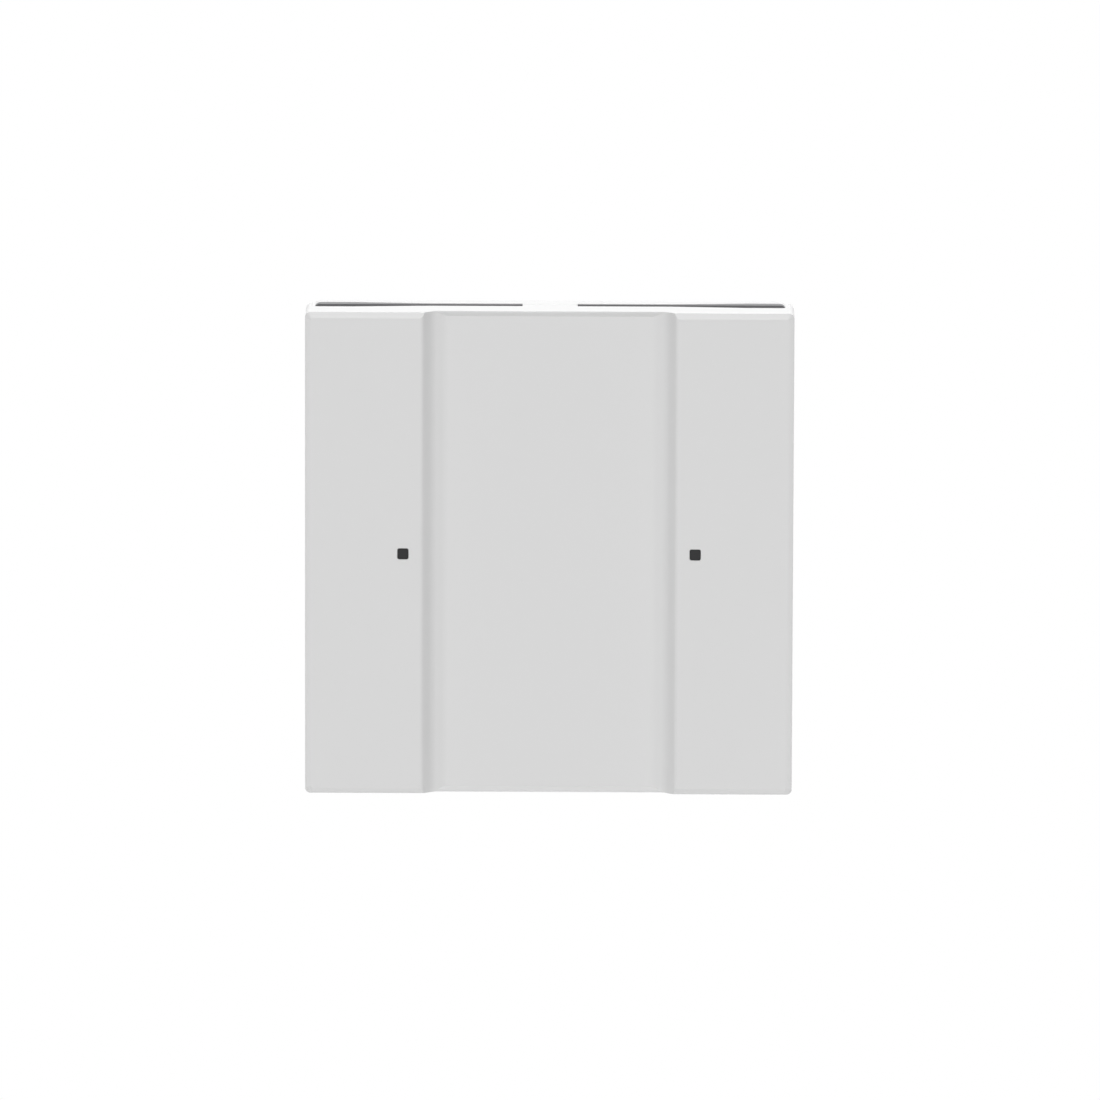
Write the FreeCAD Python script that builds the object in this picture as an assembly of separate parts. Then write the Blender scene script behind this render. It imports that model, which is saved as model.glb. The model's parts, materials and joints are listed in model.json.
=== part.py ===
import FreeCAD, Part
import os
from math import atan2, copysign, cos, radians, sin, sqrt

# Square one-gang touch switch that plugs onto a flush-mounted coupler.
# Millimetres. X runs to the right, Y into the wall, Z up.
# The origin is the centre of the flange's rear face, which lies against the carrier ring.
# A "reach" is a distance in front of that face and a "depth" is a distance behind it.

Vec = FreeCAD.Vector

# face and its two raised strips
face_width = 63.0
face_height = 63.0
face_corner = 0.7
bevel_width = 0.75
bevel_drop = 0.3
strip_width = 14.75

# sunk middle panel
brow_radius = 0.85
slope_angle = 46.0
slope_length = 0.85
hollow_radius = 2.6
tail_angle = 18.0
tail_length = 0.6
tail_radius = 3.0
lip_flat = 0.2
lip_slope = 0.5
lip_height = 0.35

# cover's walls and the back edge of its skirt
front_wall = 1.4
skirt_wall = 1.6
side_wall = 0.75
side_reach = 2.0
skirt_near_reach = 4.45
skirt_far_reach = 5.3
skirt_corner = 1.0
land_half = 3.55
relief_start_inset = 15.8
relief_end_inset = 6.0
snap_tooth_width = 6.0
snap_tooth_depth = 0.5
snap_tooth_length = 0.85
snap_tooth_inset = 0.7
slope_wall_shift = 0.5
slope_wall_run = 2.6

# flange and the land where it meets the skirt
flange_side_gap = 0.3
flange_near_reach = 2.45
flange_far_reach = 1.6
flange_end_rise = 0.9
flange_corner = 0.7
land_reach = 3.15
land_gap = 0.15
ledge_thickness = 1.2
pocket_depth = 0.6
pocket_corner = 0.8
pocket_rim = 1.6
pocket_rib = 1.2

# rocking motion
tilt_limit = 2.0
running_gap = 0.03
press_gap = 0.01
slide_gap = 0.05
seat_gap = 0.05

# rocker carrier
carrier_thickness = 1.2
carrier_gap = 0.2
carrier_rib = 0.9
carrier_rib_insets = (5.8, 0.9)
carrier_rib_end_inset = 1.9
mechanism_room = 2.7

# hinges
hinge_pin_diameter = 1.5
hinge_eye_radius = 1.5
hinge_plate_gap = 0.2
hinge_ear_width = 2.0
hinge_lug_width = 1.4
hinge_inset = 3.5
hinge_side_gap = 0.15

# status windows and light guides
window_inset = 2.11
window_size = 1.4
window_corner = 0.25
guide_body = 2.0
guide_collar = 3.0
guide_collar_length = 0.5
guide_end_gap = 1.0
guide_tube_wall = 0.75
guide_tube_drop = 0.9
light_opening = 2.2
shield_wall = 0.6

# dark mechanism plate
plate_reach = 3.2
plate_back_reach = 2.2
post_diameter = 3.0
post_inset = 2.9

# tub, board and its parts
tub_height_inset = 7.4
tub_corner = 3.0
tub_wall = 1.5
tub_gap = 0.2
tub_depth = 10.0
tub_lip = 1.5
board_gap = 0.3
shield_gap = 0.34
board_thickness = 1.6
board_depth = 1.6
board_ledge_width = 1.6
board_ledge_length = 1.2
tub_chamfer = 0.8
tub_rib_width = 1.2
tub_rib_height = 0.15
tub_rib_x = 14.0
tub_rib_start = 1.0
tub_rib_end_inset = 1.4
vent_width = 1.2
vent_length = 9.0
vent_pitch = 3.0
vent_count = 5
vent_z = 14.0

# microswitches and plungers
switch_inset = 2.75
switch_size = 4.6
switch_body_length = 2.0
switch_cover_thickness = 0.3
switch_well_depth = 1.2
stem_diameter = 1.8
plunger_diameter = 2.4
plunger_drop = 0.65
plunger_collar_diameter = 3.8
plunger_collar_length = 0.4
plunger_bore_length = 1.7
pusher_diameter = 3.6
pusher_gap = 0.1

# return springs
spring_x_inset = 8.2
spring_z_inset = 11.9
spring_outer = 4.0
spring_wire = 0.5
spring_post_diameter = 2.6
spring_post_length = 0.8

# end stops
stop_x_inset = 3.7
stop_z_inset = 6.9
stop_diameter = 3.0
stop_pad_length = 0.8
stop_spare = 0.08

# screws through the flange into the mechanism plate
screw_x_inset = 3.7
screw_rim = 0.9
screw_diameter = 2.0
screw_clearance = 0.2
screw_head_diameter = 3.8
screw_head_length = 1.1
screw_recess = 0.15
screw_boss_diameter = 4.4
screw_boss_length = 1.0
screw_end_spare = 0.2

# status lights and chips
led_width = 1.25
led_length = 2.0
led_height = 0.8
controller_size = 7.0
controller_height = 1.0
controller_place = (-9.0, 9.0)
transceiver_size = 5.0
transceiver_height = 0.9
transceiver_place = (9.0, 9.0)
capacitor_diameter = 4.0
capacitor_gap = 0.7
capacitor_pitch = 6.5
capacitor_z = 1.0
capacitor_count = 3

# plug for the coupler
plug_z = -10.0
pin_pitch = 2.54
pin_columns = 5
pin_rows = 2
pin_size = 0.64
pin_free_length = 5.2
pin_front_length = 0.6
plug_margin = 0.25
plug_end_rise = 0.8
plug_rim_width = 1.2
plug_rim_height = 0.5

# spring clips at the sides of the tub
clip_half_width = 4.0
clip_metal = 0.4
clip_front_depth = 2.6
clip_back_inset = 0.6
clip_spread = 2.4
clip_peak_depth = 5.4
clip_free_depth = 3.6
clip_tab_half_width = 1.5
clip_tab_start = 6.0
clip_tab_length = 1.0

# sizes that follow from the ones above: first the outline, then the stack from the wall
half_w = face_width / 2
half_h = face_height / 2
strip_edge = half_w - strip_width
window_x = strip_edge + window_inset
switch_x = strip_edge - switch_inset
snap_tooth_x = strip_edge - snap_tooth_inset
relief_start = half_w - relief_start_inset
relief_end = half_w - relief_end_inset
inner_half_w = half_w - side_wall
inner_half_h = half_h - skirt_wall
base_half_w = inner_half_w - flange_side_gap
carrier_half_w = inner_half_w - carrier_gap
carrier_half_h = inner_half_h - carrier_gap
hinge_ear_z = inner_half_h - hinge_inset
hinge_reach = hinge_ear_width / 2 + hinge_side_gap + hinge_lug_width
spring_x = base_half_w - spring_x_inset
spring_z = inner_half_h - spring_z_inset
stop_x = base_half_w - stop_x_inset
stop_z = inner_half_h - stop_z_inset
shield_size = light_opening + 2 * shield_wall
cavity_half_w = window_x + shield_size / 2 + shield_gap
tub_half_w = cavity_half_w + tub_wall
tub_half_h = inner_half_h - tub_height_inset
cavity_half_h = tub_half_h - tub_wall
lip_half_w = tub_half_w + tub_lip
lip_half_h = tub_half_h + tub_lip
board_half_w = cavity_half_w - board_gap
board_half_h = cavity_half_h - board_gap
post_x = board_half_w - post_inset
post_z = board_half_h - post_inset
screw_x = relief_start - screw_x_inset
screw_z = lip_half_h + tub_gap + screw_rim + (screw_head_diameter + screw_clearance) / 2
pivot_reach = plate_reach + hinge_eye_radius + hinge_plate_gap
carrier_back_reach = plate_reach + mechanism_room
floor_inner_reach = carrier_back_reach + carrier_thickness
floor_reach = floor_inner_reach + front_wall
lip_reach = floor_reach + lip_height
steep = radians(slope_angle)
shallow = radians(tail_angle)
front_reach = (
    floor_reach
    + brow_radius * (1 - cos(steep))
    + slope_length * sin(steep)
    + hollow_radius * (cos(shallow) - cos(steep))
    + tail_length * sin(shallow)
    + tail_radius * (1 - cos(shallow))
)
strip_inner_reach = front_reach - front_wall
plunger_reach = pivot_reach - plunger_drop
screw_boss_reach = plate_reach + screw_boss_length
board_back = board_depth + board_thickness
capacitor_height = tub_depth - tub_wall - board_back - capacitor_gap
clip_back_depth = tub_depth - clip_back_inset
tub_rib_end = tub_depth - tub_rib_end_inset
plug_end_depth = tub_depth + plug_end_rise
pin_end_depth = plug_end_depth + pin_free_length
tilt_sine = sin(radians(tilt_limit))
plunger_travel = switch_x * tilt_sine
beyond = 5.0


# box between two corners
def block(x0, x1, y0, y1, z0, z1):
    low = Vec(min(x0, x1), min(y0, y1), min(z0, z1))
    return Part.makeBox(abs(x1 - x0), abs(y1 - y0), abs(z1 - z0), low)


# cylinder that runs into the wall
def rod(x, z, diameter, y0, y1):
    return Part.makeCylinder(diameter / 2, y1 - y0, Vec(x, y0, z), Vec(0, 1, 0))


# cylinder that runs up
def upright(x, y, diameter, z0, z1):
    return Part.makeCylinder(diameter / 2, z1 - z0, Vec(x, y, z0), Vec(0, 0, 1))


# outline of a rounded rectangle that faces the wall
def rounded_outline(width, height, corner, y):
    w = width / 2
    h = height / 2
    knee = corner * (1 - 1 / sqrt(2))
    arcs = []
    for sx, sz in ((1, 1), (-1, 1), (-1, -1), (1, -1)):
        first = Vec(sx * w, y, sz * (h - corner))
        last = Vec(sx * (w - corner), y, sz * h)
        if sx * sz < 0:
            first, last = last, first
        arcs.append((first, Vec(sx * (w - knee), y, sz * (h - knee)), last))
    edges = []
    for arc, following in zip(arcs, arcs[1:] + arcs[:1]):
        edges.append(Part.Arc(*arc).toShape())
        edges.append(Part.LineSegment(arc[2], following[0]).toShape())
    return Part.Wire(edges)


# rounded rectangle from one Y to another
def rounded_slab(width, height, corner, y0, y1, x=0.0, z=0.0):
    face = Part.Face(rounded_outline(width, height, corner, y0))
    slab = face.extrude(Vec(0, y1 - y0, 0))
    slab.translate(Vec(x, 0, z))
    return slab


# shape that runs up, from its outline in X and Y
def upright_prism(outline, z0, z1):
    points = [Vec(x, y, z0) for x, y in outline]
    face = Part.Face(Part.makePolygon(points + points[:1]))
    return face.extrude(Vec(0, 0, z1 - z0))


# shape that runs across, from its outline in Y and Z
def cross_prism(outline, x0, x1):
    points = [Vec(x0, y, z) for y, z in outline]
    face = Part.Face(Part.makePolygon(points + points[:1]))
    return face.extrude(Vec(x1 - x0, 0, 0))


# copy on the other side of the vertical middle plane
def mirrored(shape):
    return shape.mirror(Vec(0, 0, 0), Vec(1, 0, 0))


# copy on the other side of the level middle plane
def flipped(shape):
    return shape.mirror(Vec(0, 0, 0), Vec(0, 0, 1))


# the four places at plus and minus x and z
def corners(x, z):
    return [(sx * x, sz * z) for sx in (1, -1) for sz in (1, -1)]


# bends of the middle panel's profile, from a strip's edge inwards: for each arc its two ends
# and its middle, as the distance in and the drop from the strip's face
def panel_bends():
    run, drop = 0.0, 0.0
    bends = []
    for radius, start, end, straight in (
        (brow_radius, 0.0, steep, slope_length),
        (-hollow_radius, steep, shallow, tail_length),
        (-tail_radius, shallow, 0.0, 0.0),
    ):
        bend = []
        for angle in (start, (start + end) / 2, end):
            across = run + radius * (sin(angle) - sin(start))
            down = drop + radius * (cos(start) - cos(angle))
            bend.append((across, down))
        bends.append(bend)
        run = bend[-1][0] + straight * cos(end)
        drop = bend[-1][1] + straight * sin(end)
    return bends


# the space that the middle panel leaves in front: rounded steps, then hollows onto a flat floor
def panel_space():
    front = -front_reach - beyond
    z = -half_h - beyond
    edges = [Part.LineSegment(Vec(-strip_edge, front, z), Vec(strip_edge, front, z))]
    for side in (1, -1):
        last = Vec(side * strip_edge, front, z)
        for bend in panel_bends():
            points = [
                Vec(side * (strip_edge - run), -front_reach + drop, z) for run, drop in bend
            ]
            if last.distanceToPoint(points[0]) > 1e-6:
                edges.append(Part.LineSegment(last, points[0]))
            edges.append(Part.Arc(*points))
            last = points[2]
    edges.append(Part.LineSegment(Vec(-last.x, last.y, z), last))
    loop = Part.__sortEdges__([edge.toShape() for edge in edges])
    face = Part.Face(Part.Wire(loop))
    space = face.extrude(Vec(0, 0, 2 * (half_h + beyond)))
    top = half_h + beyond
    lip = cross_prism(
        [
            (-floor_reach + beyond, top),
            (-lip_reach, top),
            (-lip_reach, half_h - lip_flat),
            (-floor_reach, half_h - lip_flat - lip_slope),
            (-floor_reach + beyond, half_h - lip_flat - lip_slope),
        ],
        -half_w,
        half_w,
    )
    return space.cut(lip).cut(flipped(lip))


# what the V-shaped relief takes off the back of the top and bottom skirts
def skirt_relief():
    half = inner_half_w
    sweep = skirt_corner * (1 - 1 / sqrt(2))
    z = -half_h - beyond

    def at(x, reach):
        return Vec(x, -reach, z)

    path = [
        at(half, skirt_far_reach - skirt_corner),
        at(half - skirt_corner, skirt_far_reach),
        at(relief_end, skirt_far_reach),
        at(relief_start, skirt_near_reach),
        at(land_half, skirt_near_reach),
        at(land_half, land_reach + land_gap),
    ]
    knee = at(half - sweep, skirt_far_reach - sweep)
    other = [Vec(-p.x, p.y, p.z) for p in path]
    other_knee = Vec(-knee.x, knee.y, knee.z)
    edges = [Part.Arc(path[0], knee, path[1])]
    for first, last in zip(path[1:], path[2:]):
        edges.append(Part.LineSegment(first, last))
    edges.append(Part.LineSegment(path[-1], other[-1]))
    for first, last in zip(other[:0:-1], other[-2:0:-1]):
        edges.append(Part.LineSegment(first, last))
    edges.append(Part.Arc(other[1], other_knee, other[0]))
    edges.append(Part.LineSegment(other[0], at(-half, -beyond)))
    edges.append(Part.LineSegment(at(-half, -beyond), at(half, -beyond)))
    edges.append(Part.LineSegment(at(half, -beyond), path[0]))
    face = Part.Face(Part.Wire([edge.toShape() for edge in edges]))
    return face.extrude(Vec(0, 0, 2 * (half_h + beyond)))


# white front shell
def make_rocker_cover():
    front = Part.makeLoft(
        [
            rounded_outline(
                face_width - 2 * bevel_width,
                face_height - 2 * bevel_width,
                face_corner / 3,
                -front_reach,
            ),
            rounded_outline(face_width, face_height, face_corner, -front_reach + bevel_drop),
        ],
        True,
        True,
    )
    skirt = rounded_slab(
        face_width, face_height, face_corner, -front_reach + bevel_drop, -side_reach
    )
    cover = front.fuse(skirt).removeSplitter()
    cover = cover.cut(panel_space())
    inner_slope_out = strip_edge + slope_wall_shift
    inner_slope_in = inner_slope_out - slope_wall_run
    hollow = upright_prism(
        [
            (inner_half_w, beyond),
            (inner_half_w, -strip_inner_reach),
            (inner_slope_out, -strip_inner_reach),
            (inner_slope_in, -floor_inner_reach),
            (-inner_slope_in, -floor_inner_reach),
            (-inner_slope_out, -strip_inner_reach),
            (-inner_half_w, -strip_inner_reach),
            (-inner_half_w, beyond),
        ],
        -inner_half_h,
        inner_half_h,
    )
    cover = cover.cut(hollow).cut(skirt_relief())
    for side in (1, -1):
        hole = rounded_slab(
            window_size + 2 * running_gap,
            window_size + 2 * running_gap,
            window_corner,
            -front_reach - beyond,
            -front_reach + beyond,
            side * window_x,
        )
        cover = cover.cut(hole)
    tooth_front = -carrier_back_reach + seat_gap
    for x, z in corners(snap_tooth_x, 1):
        tooth = cross_prism(
            [
                (tooth_front, z * (inner_half_h + seat_gap)),
                (tooth_front, z * (inner_half_h - snap_tooth_depth)),
                (tooth_front + snap_tooth_length, z * (inner_half_h + seat_gap)),
            ],
            x - snap_tooth_width / 2,
            x + snap_tooth_width / 2,
        )
        cover = cover.fuse(tooth)
    return cover.removeSplitter()


# stiff plate inside the cover
def make_rocker_carrier():
    back = -carrier_back_reach
    plate = block(
        -carrier_half_w, carrier_half_w, -floor_inner_reach, back, -carrier_half_h, carrier_half_h
    )
    rib_end = inner_half_h - carrier_rib_end_inset
    rib_places = [carrier_half_w - inset for inset in carrier_rib_insets]
    strip_front = -strip_inner_reach
    for side in (1, -1):
        for x in rib_places:
            rib = block(
                side * x - carrier_rib / 2,
                side * x + carrier_rib / 2,
                strip_front,
                -floor_inner_reach,
                -rib_end,
                rib_end,
            )
            plate = plate.fuse(rib)
        for z in (rib_end, -rib_end):
            rib = block(
                side * (strip_edge + 2 * slope_wall_shift),
                side * rib_places[-1],
                strip_front,
                -floor_inner_reach,
                z - carrier_rib / 2,
                z + carrier_rib / 2,
            )
            plate = plate.fuse(rib)
        tube = guide_body + 2 * guide_tube_wall
        plate = plate.fuse(
            rounded_slab(
                tube,
                tube,
                0.3,
                strip_front + guide_collar_length,
                back + guide_tube_drop,
                side * window_x,
            )
        )
        plate = plate.fuse(
            rod(side * switch_x, 0, pusher_diameter, back, -plunger_reach - pusher_gap)
        )
    for x, z in corners(spring_x, spring_z):
        plate = plate.fuse(
            rod(x, z, spring_post_diameter, back, back + spring_post_length)
        )
    stop_gap = (stop_x + stop_diameter / 2) * tilt_sine + stop_spare
    for x, z in corners(stop_x, stop_z):
        plate = plate.fuse(
            rod(x, z, stop_diameter, back, -plate_reach - stop_pad_length - stop_gap)
        )
    bore = hinge_pin_diameter + 2 * running_gap
    for side in (1, -1):
        middle = side * hinge_ear_z
        for lug in (-1, 1):
            near = middle + lug * (hinge_ear_width / 2)
            far = near + lug * (hinge_lug_width + 2 * hinge_side_gap)
            window = block(
                -hinge_eye_radius - hinge_side_gap,
                hinge_eye_radius + hinge_side_gap,
                -floor_inner_reach - 1,
                back + 1,
                near,
                far,
            )
            plate = plate.cut(window)
        ear = upright(
            0,
            -pivot_reach,
            2 * hinge_eye_radius,
            middle - hinge_ear_width / 2,
            middle + hinge_ear_width / 2,
        )
        neck = block(
            -hinge_eye_radius,
            hinge_eye_radius,
            back - 0.5,
            -pivot_reach,
            middle - hinge_ear_width / 2,
            middle + hinge_ear_width / 2,
        )
        plate = plate.fuse(ear).fuse(neck)
        plate = plate.cut(
            upright(0, -pivot_reach, bore, middle - hinge_reach, middle + hinge_reach)
        )
    for side in (1, -1):
        bore = guide_body + 2 * running_gap
        plate = plate.cut(
            rounded_slab(bore, bore, 0.2, -front_reach, 0, side * window_x)
        )
    return plate.removeSplitter()


# clear rod from the front of a strip to its status light
def make_light_guide(side):
    tip = rounded_slab(
        window_size, window_size, window_corner, -front_reach, -strip_inner_reach
    )
    collar = rounded_slab(
        guide_collar,
        guide_collar,
        0.3,
        -strip_inner_reach,
        -strip_inner_reach + guide_collar_length,
    )
    body = rounded_slab(
        guide_body,
        guide_body,
        0.2,
        -strip_inner_reach + guide_collar_length,
        -plate_reach - guide_end_gap,
    )
    guide = tip.fuse(collar).fuse(body).removeSplitter()
    guide.translate(Vec(side * window_x, 0, 0))
    return guide


# steel pin through a pair of lugs and the ear between them
def make_hinge_pin(side):
    low = side * hinge_ear_z - hinge_reach
    return upright(0, -pivot_reach, hinge_pin_diameter, low, low + 2 * hinge_reach)


# the flange's body before its openings: V-shaped front, low rises at its side ends
def flange_body():
    half = base_half_w
    outline = [
        (half, 0),
        (half, -flange_far_reach - flange_end_rise),
        (half - flange_end_rise / 3, -flange_far_reach - flange_end_rise / 3),
        (half - flange_end_rise, -flange_far_reach),
        (relief_end, -flange_far_reach),
        (relief_start, -flange_near_reach),
    ]
    outline += [(-x, y) for x, y in reversed(outline)]
    body = upright_prism(outline, -half_h, half_h)
    bound = rounded_slab(2 * half, face_height, flange_corner, -beyond, 0)
    return body.common(bound)


# white flange that lies on the carrier ring
def make_base_frame():
    frame = flange_body()
    for side in (1, -1):
        land = block(
            -land_half,
            land_half,
            -land_reach,
            -flange_near_reach,
            side * half_h,
            side * inner_half_h,
        )
        frame = frame.fuse(land)
    corner = tub_corner + tub_gap
    frame = frame.cut(
        rounded_slab(
            2 * (lip_half_w + tub_gap),
            2 * (lip_half_h + tub_gap),
            corner + tub_lip,
            -beyond,
            -ledge_thickness,
        )
    )
    frame = frame.cut(
        rounded_slab(
            2 * (tub_half_w + tub_gap), 2 * (tub_half_h + tub_gap), corner, -beyond, beyond
        )
    )
    for x, z in corners(screw_x, screw_z):
        frame = frame.cut(rod(x, z, screw_diameter + screw_clearance, -beyond, beyond))
        frame = frame.cut(
            rod(
                x,
                z,
                screw_head_diameter + screw_clearance,
                -screw_head_length - screw_recess,
                beyond,
            )
        )
    for x0, x1, z0, z1 in flange_pockets():
        for sx, sz in ((1, 1), (-1, 1), (1, -1), (-1, -1)):
            pocket = rounded_slab(
                x1 - x0,
                z1 - z0,
                pocket_corner,
                -pocket_depth,
                beyond,
                sx * (x0 + x1) / 2,
                sz * (z0 + z1) / 2,
            )
            frame = frame.cut(pocket)
    return frame.removeSplitter()


# low and high X and Z of the shallow pockets in one quarter of the flange's back
def flange_pockets():
    edge_x = base_half_w - pocket_rim
    edge_z = half_h - pocket_rim
    side_x = lip_half_w + tub_gap + pocket_rib
    above_z = lip_half_h + tub_gap + pocket_rib
    head = (screw_head_diameter + screw_clearance) / 2 + pocket_rib
    return [
        (side_x, edge_x, pocket_rib, above_z - 2 * pocket_rib),
        (pocket_rib / 2, screw_x - head, above_z, edge_z),
        (screw_x + head, side_x - pocket_rib, above_z, edge_z),
    ]


# dark plate on the flange, seen through the slits over the skirt
def make_mechanism_plate():
    plate = rounded_slab(
        2 * base_half_w, face_height, flange_corner, -plate_reach, -flange_far_reach
    )
    plate = plate.cut(flange_body())
    corner = tub_corner + tub_lip
    plate = plate.fuse(
        rounded_slab(2 * lip_half_w, 2 * lip_half_h, corner, -plate_reach, -plate_back_reach)
    )
    plate = plate.cut(
        rounded_slab(
            2 * (lip_half_w + tub_gap),
            2 * (lip_half_h + tub_gap),
            corner + tub_gap,
            -plate_back_reach,
            beyond,
        )
    )
    reach = hinge_reach - hinge_lug_width
    for side in (1, -1):
        notch = block(
            -land_half - slide_gap,
            land_half + slide_gap,
            -beyond,
            0,
            side * (inner_half_h - slide_gap),
            side * (half_h + 1),
        )
        plate = plate.cut(notch)
        for lug in (-1, 1):
            near = side * hinge_ear_z + lug * reach
            far = near + lug * hinge_lug_width
            low = min(near, far)
            high = max(near, far)
            eye = upright(0, -pivot_reach, 2 * hinge_eye_radius, low, high)
            foot = block(
                -hinge_eye_radius, hinge_eye_radius, -pivot_reach, -plate_reach, low, high
            )
            plate = plate.fuse(eye).fuse(foot)
        plate = plate.cut(
            upright(
                0,
                -pivot_reach,
                hinge_pin_diameter + 2 * press_gap,
                side * hinge_ear_z - hinge_reach - 1,
                side * hinge_ear_z + hinge_reach + 1,
            )
        )
    for x, z in corners(screw_x, screw_z):
        boss = rod(x, z, screw_boss_diameter, -screw_boss_reach, -plate_reach)
        plate = plate.fuse(boss)
        plate = plate.cut(
            rod(
                x,
                z,
                screw_diameter + 2 * press_gap,
                -screw_boss_reach + screw_end_spare,
                beyond,
            )
        )
    for x, z in corners(spring_x, spring_z):
        plate = plate.fuse(
            rod(x, z, spring_post_diameter, -plate_reach - spring_post_length, -plate_reach)
        )
    for x, z in corners(post_x, post_z):
        plate = plate.fuse(rod(x, z, post_diameter, -plate_reach, board_depth))
    for side in (1, -1):
        hole = plunger_diameter + 2 * slide_gap
        plate = plate.cut(rod(side * switch_x, 0, hole, -beyond, beyond))
        plate = plate.cut(
            rounded_slab(
                light_opening, light_opening, 0.2, -beyond, beyond, side * window_x
            )
        )
    return plate.removeSplitter()


# tub that holds the board behind the flange
def make_rear_housing():
    outer = rounded_slab(
        2 * tub_half_w, 2 * tub_half_h, tub_corner, -plate_back_reach, tub_depth
    )
    back_edges = [edge for edge in outer.Edges if edge.BoundBox.YMin > tub_depth - tub_chamfer]
    outer = outer.makeChamfer(tub_chamfer, back_edges)
    lip = rounded_slab(
        2 * lip_half_w,
        2 * lip_half_h,
        tub_corner + tub_lip,
        -plate_back_reach,
        -ledge_thickness,
    )
    tub = outer.fuse(lip)
    width = 2 * cavity_half_w
    height = 2 * cavity_half_h
    corner = tub_corner - tub_wall
    tub = tub.cut(rounded_slab(width, height, corner, -beyond, tub_depth - tub_wall))
    ledge = rounded_slab(width, height, corner, board_back, board_back + board_ledge_length)
    ledge = ledge.cut(
        rounded_slab(
            width - 2 * board_ledge_width,
            height - 2 * board_ledge_width,
            corner,
            board_back - 1,
            tub_depth,
        )
    )
    tub = tub.fuse(ledge)
    for x, z in corners(tub_rib_x, tub_half_h):
        rib = block(
            x - tub_rib_width / 2,
            x + tub_rib_width / 2,
            tub_rib_start,
            tub_rib_end,
            z - copysign(tub_wall / 2, z),
            z + copysign(tub_rib_height, z),
        )
        tub = tub.fuse(rib)
    for index in range(vent_count):
        x = (index - (vent_count - 1) / 2) * vent_pitch
        vent = rounded_slab(
            vent_width,
            vent_length,
            vent_width / 2 - 0.01,
            tub_depth - tub_wall - 1,
            tub_depth + 1,
            x,
            vent_z,
        )
        tub = tub.cut(vent)
    width, height = plug_size()
    rim = 2 * (slide_gap + plug_rim_width)
    tub = tub.fuse(
        rounded_slab(
            width + rim,
            height + rim,
            plug_rim_width / 2,
            tub_depth - tub_wall / 2,
            tub_depth + plug_rim_height,
            0,
            plug_z,
        )
    )
    opening = block(
        -width / 2 - slide_gap,
        width / 2 + slide_gap,
        board_back + 0.1,
        tub_depth + 1,
        plug_z - height / 2 - slide_gap,
        plug_z + height / 2 + slide_gap,
    )
    tub = tub.cut(opening)
    for side in (1, -1):
        slot = block(
            side * (cavity_half_w - 1),
            side * (tub_half_w + 1),
            clip_tab_start - slide_gap,
            clip_tab_start + clip_tab_length + slide_gap,
            -clip_tab_half_width - slide_gap,
            clip_tab_half_width + slide_gap,
        )
        tub = tub.cut(slot)
    return tub.removeSplitter()


# width and height of the plug's block
def plug_size():
    width = pin_columns * pin_pitch + 2 * plug_margin
    height = pin_rows * pin_pitch + 2 * plug_margin
    return width, height


# X and Z of every pin
def pin_places():
    places = []
    for column in range(pin_columns):
        for row in range(pin_rows):
            x = (column - (pin_columns - 1) / 2) * pin_pitch
            z = plug_z + (row - (pin_rows - 1) / 2) * pin_pitch
            places.append((x, z))
    return places


# square hole or pin of the plug
def pin_shape(x, z, size, y0, y1):
    return block(x - size / 2, x + size / 2, y0, y1, z - size / 2, z + size / 2)


def make_circuit_board():
    board = rounded_slab(
        2 * board_half_w, 2 * board_half_h, tub_corner - tub_wall, board_depth, board_back
    )
    for x, z in pin_places():
        hole = pin_shape(x, z, pin_size + 2 * slide_gap, board_depth - 1, board_back + 1)
        board = board.cut(hole)
    return board


def make_connector_body():
    width, height = plug_size()
    body = block(
        -width / 2,
        width / 2,
        board_back,
        plug_end_depth,
        plug_z - height / 2,
        plug_z + height / 2,
    )
    for x, z in pin_places():
        body = body.cut(pin_shape(x, z, pin_size + 2 * press_gap, 0, pin_end_depth))
    return body


def make_connector_pins():
    pins = []
    for x, z in pin_places():
        shank = pin_shape(x, z, pin_size, board_depth - pin_front_length, pin_end_depth - 0.5)
        half = pin_size / 2
        foot = Part.makePolygon(
            [
                Vec(x - half, pin_end_depth - 0.5, z - half),
                Vec(x + half, pin_end_depth - 0.5, z - half),
                Vec(x + half, pin_end_depth - 0.5, z + half),
                Vec(x - half, pin_end_depth - 0.5, z + half),
                Vec(x - half, pin_end_depth - 0.5, z - half),
            ]
        )
        small = half / 2
        end = Part.makePolygon(
            [
                Vec(x - small, pin_end_depth, z - small),
                Vec(x + small, pin_end_depth, z - small),
                Vec(x + small, pin_end_depth, z + small),
                Vec(x - small, pin_end_depth, z + small),
                Vec(x - small, pin_end_depth, z - small),
            ]
        )
        point = Part.makeLoft([foot, end], True, True)
        pins.append(shank.fuse(point).removeSplitter())
    return Part.makeCompound(pins)


# microswitch: plastic body with a well, steel cover plate and its own stem
def make_switch_body(side):
    x = side * switch_x
    half = switch_size / 2
    front = board_depth - switch_body_length
    body = block(x - half, x + half, front, board_depth, -half, half)
    well = rod(x, 0, stem_diameter + 4 * slide_gap, front - 1, front + switch_well_depth)
    return body.cut(well)


def make_switch_cover(side):
    x = side * switch_x
    half = switch_size / 2
    back = board_depth - switch_body_length
    cover = block(x - half, x + half, back - switch_cover_thickness, back, -half, half)
    return cover.cut(rod(x, 0, stem_diameter + 2 * slide_gap, back - 1, back + 1))


# back end of the plunger's collar, halfway between the plate and the switch cover
def collar_back():
    cover_front = board_depth - switch_body_length - switch_cover_thickness
    room = cover_front + plate_back_reach - plunger_collar_length
    return cover_front - room / 2


def make_switch_stem(side):
    x = side * switch_x
    front = collar_back() - plunger_bore_length + seat_gap
    back = board_depth - switch_body_length + switch_well_depth - plunger_travel - 2 * slide_gap
    return rod(x, 0, stem_diameter, front, back)


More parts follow.
